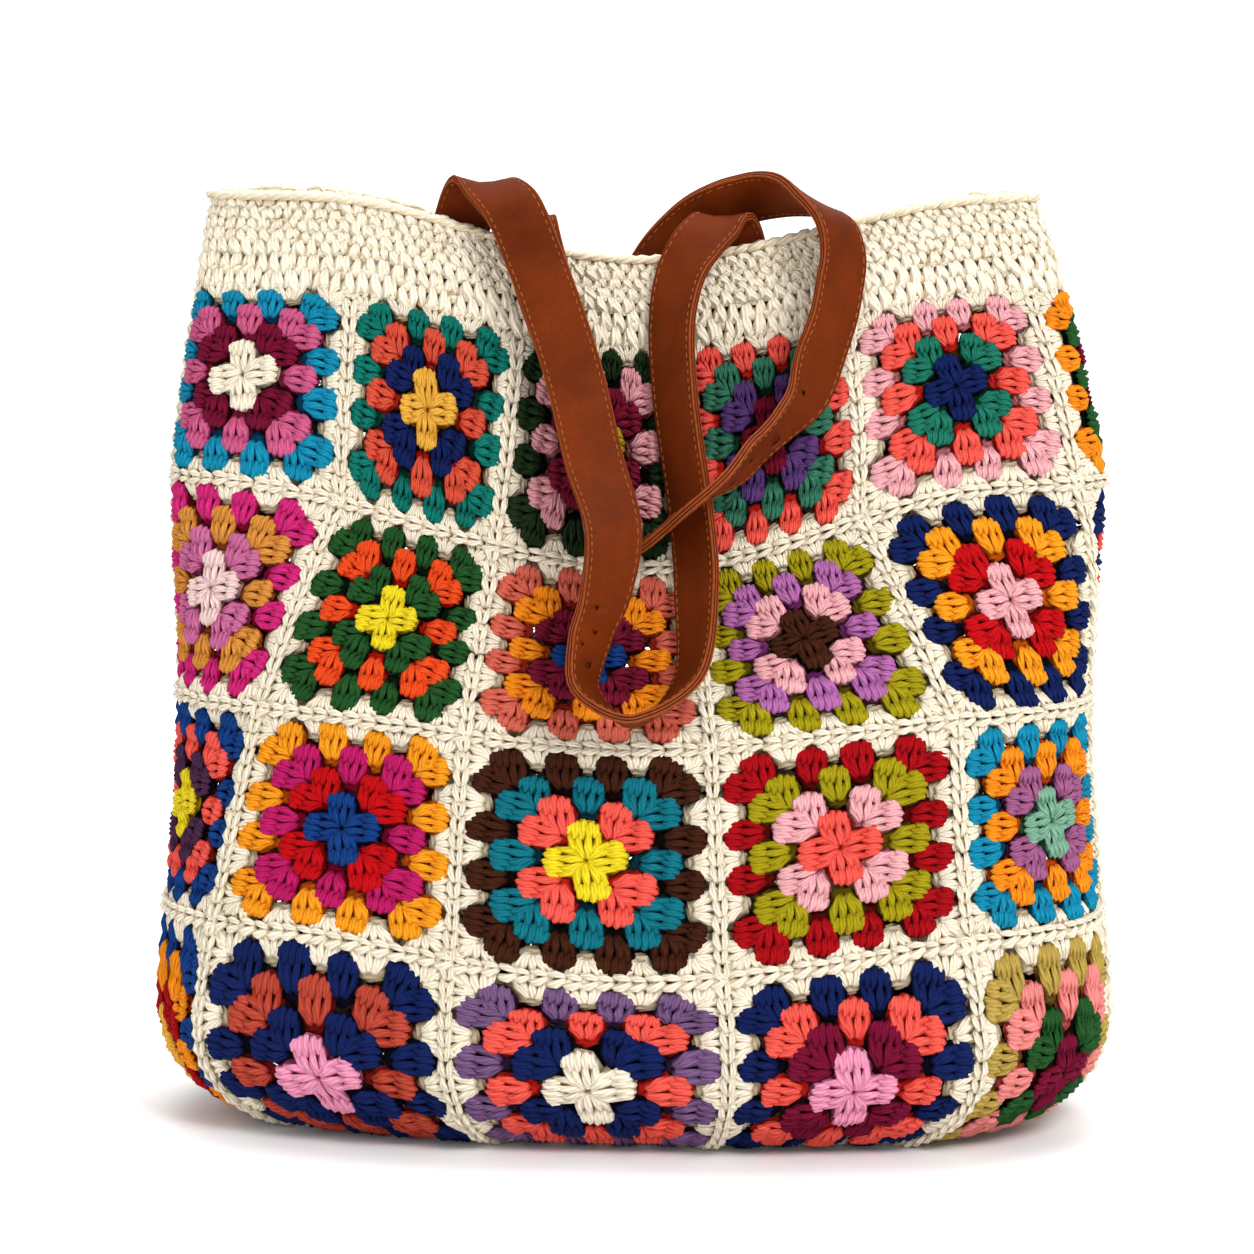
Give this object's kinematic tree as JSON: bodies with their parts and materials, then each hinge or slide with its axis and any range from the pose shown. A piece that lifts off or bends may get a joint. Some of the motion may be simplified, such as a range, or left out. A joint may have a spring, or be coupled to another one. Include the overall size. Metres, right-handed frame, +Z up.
{
  "type": "crochet tote bag",
  "caption": "Soft tote of crocheted granny squares with a cream band round its mouth and two leather straps thrown over the front.",
  "frame": {"origin": "middle of the flat underside, on the surface that the bag stands on", "axes": "+Z up, -Y out of the front that the straps hang over, +X to the right as seen from the front"},
  "size_m": [0.4209, 0.2177, 0.4188],
  "materials": {
    "yarn_r1_c01": "matt crocheted cotton yarn in five rounds of colour, the last one cream",
    "yarn_r1_c02": "matt crocheted cotton yarn in five rounds of colour, the last one cream",
    "yarn_r1_c03": "matt crocheted cotton yarn in five rounds of colour, the last one cream",
    "yarn_r1_c04": "matt crocheted cotton yarn in five rounds of colour, the last one cream",
    "yarn_r1_c05": "matt crocheted cotton yarn in five rounds of colour, the last one cream",
    "yarn_r1_c06": "matt crocheted cotton yarn in five rounds of colour, the last one cream",
    "yarn_r1_c07": "matt crocheted cotton yarn in five rounds of colour, the last one cream",
    "yarn_r1_c08": "matt crocheted cotton yarn in five rounds of colour, the last one cream",
    "yarn_r1_c09": "matt crocheted cotton yarn in five rounds of colour, the last one cream",
    "yarn_r1_c10": "matt crocheted cotton yarn in five rounds of colour, the last one cream",
    "yarn_r2_c01": "matt crocheted cotton yarn in five rounds of colour, the last one cream",
    "yarn_r2_c02": "matt crocheted cotton yarn in five rounds of colour, the last one cream",
    "yarn_r2_c03": "matt crocheted cotton yarn in five rounds of colour, the last one cream",
    "yarn_r2_c04": "matt crocheted cotton yarn in five rounds of colour, the last one cream",
    "yarn_r2_c05": "matt crocheted cotton yarn in five rounds of colour, the last one cream",
    "yarn_r2_c06": "matt crocheted cotton yarn in five rounds of colour, the last one cream",
    "yarn_r2_c07": "matt crocheted cotton yarn in five rounds of colour, the last one cream",
    "yarn_r2_c08": "matt crocheted cotton yarn in five rounds of colour, the last one cream",
    "yarn_r2_c09": "matt crocheted cotton yarn in five rounds of colour, the last one cream",
    "yarn_r2_c10": "matt crocheted cotton yarn in five rounds of colour, the last one cream",
    "yarn_r3_c01": "matt crocheted cotton yarn in five rounds of colour, the last one cream",
    "yarn_r3_c02": "matt crocheted cotton yarn in five rounds of colour, the last one cream",
    "yarn_r3_c03": "matt crocheted cotton yarn in five rounds of colour, the last one cream",
    "yarn_r3_c04": "matt crocheted cotton yarn in five rounds of colour, the last one cream",
    "yarn_r3_c05": "matt crocheted cotton yarn in five rounds of colour, the last one cream",
    "yarn_r3_c06": "matt crocheted cotton yarn in five rounds of colour, the last one cream",
    "yarn_r3_c07": "matt crocheted cotton yarn in five rounds of colour, the last one cream",
    "yarn_r3_c08": "matt crocheted cotton yarn in five rounds of colour, the last one cream",
    "yarn_r3_c09": "matt crocheted cotton yarn in five rounds of colour, the last one cream",
    "yarn_r3_c10": "matt crocheted cotton yarn in five rounds of colour, the last one cream",
    "yarn_r4_c01": "matt crocheted cotton yarn in five rounds of colour, the last one cream",
    "yarn_r4_c02": "matt crocheted cotton yarn in five rounds of colour, the last one cream",
    "yarn_r4_c03": "matt crocheted cotton yarn in five rounds of colour, the last one cream",
    "yarn_r4_c04": "matt crocheted cotton yarn in five rounds of colour, the last one cream",
    "yarn_r4_c05": "matt crocheted cotton yarn in five rounds of colour, the last one cream",
    "yarn_r4_c06": "matt crocheted cotton yarn in five rounds of colour, the last one cream",
    "yarn_r4_c07": "matt crocheted cotton yarn in five rounds of colour, the last one cream",
    "yarn_r4_c08": "matt crocheted cotton yarn in five rounds of colour, the last one cream",
    "yarn_r4_c09": "matt crocheted cotton yarn in five rounds of colour, the last one cream",
    "yarn_r4_c10": "matt crocheted cotton yarn in five rounds of colour, the last one cream",
    "cream_yarn": "matt crocheted cotton yarn",
    "strap_leather": "smooth semi-matt leather in layers, stitched along both edges"
  },
  "bodies": {
    "root": {"square_r1_c01": "yarn_r1_c01", "square_r1_c02": "yarn_r1_c02", "square_r1_c03": "yarn_r1_c03", "square_r1_c04": "yarn_r1_c04", "square_r1_c05": "yarn_r1_c05", "square_r1_c06": "yarn_r1_c06", "square_r1_c07": "yarn_r1_c07", "square_r1_c08": "yarn_r1_c08", "square_r1_c09": "yarn_r1_c09", "square_r1_c10": "yarn_r1_c10", "square_r2_c01": "yarn_r2_c01", "square_r2_c02": "yarn_r2_c02", "square_r2_c03": "yarn_r2_c03", "square_r2_c04": "yarn_r2_c04", "square_r2_c05": "yarn_r2_c05", "square_r2_c06": "yarn_r2_c06", "square_r2_c07": "yarn_r2_c07", "square_r2_c08": "yarn_r2_c08", "square_r2_c09": "yarn_r2_c09", "square_r2_c10": "yarn_r2_c10", "square_r3_c01": "yarn_r3_c01", "square_r3_c02": "yarn_r3_c02", "square_r3_c03": "yarn_r3_c03", "square_r3_c04": "yarn_r3_c04", "square_r3_c05": "yarn_r3_c05", "square_r3_c06": "yarn_r3_c06", "square_r3_c07": "yarn_r3_c07", "square_r3_c08": "yarn_r3_c08", "square_r3_c09": "yarn_r3_c09", "square_r3_c10": "yarn_r3_c10", "square_r4_c01": "yarn_r4_c01", "square_r4_c02": "yarn_r4_c02", "square_r4_c03": "yarn_r4_c03", "square_r4_c04": "yarn_r4_c04", "square_r4_c05": "yarn_r4_c05", "square_r4_c06": "yarn_r4_c06", "square_r4_c07": "yarn_r4_c07", "square_r4_c08": "yarn_r4_c08", "square_r4_c09": "yarn_r4_c09", "square_r4_c10": "yarn_r4_c10", "base_panel": "cream_yarn", "top_band": "cream_yarn", "rim_edge": "cream_yarn", "front_handle": "strap_leather", "back_handle": "strap_leather"}
  },
  "joints": []
}
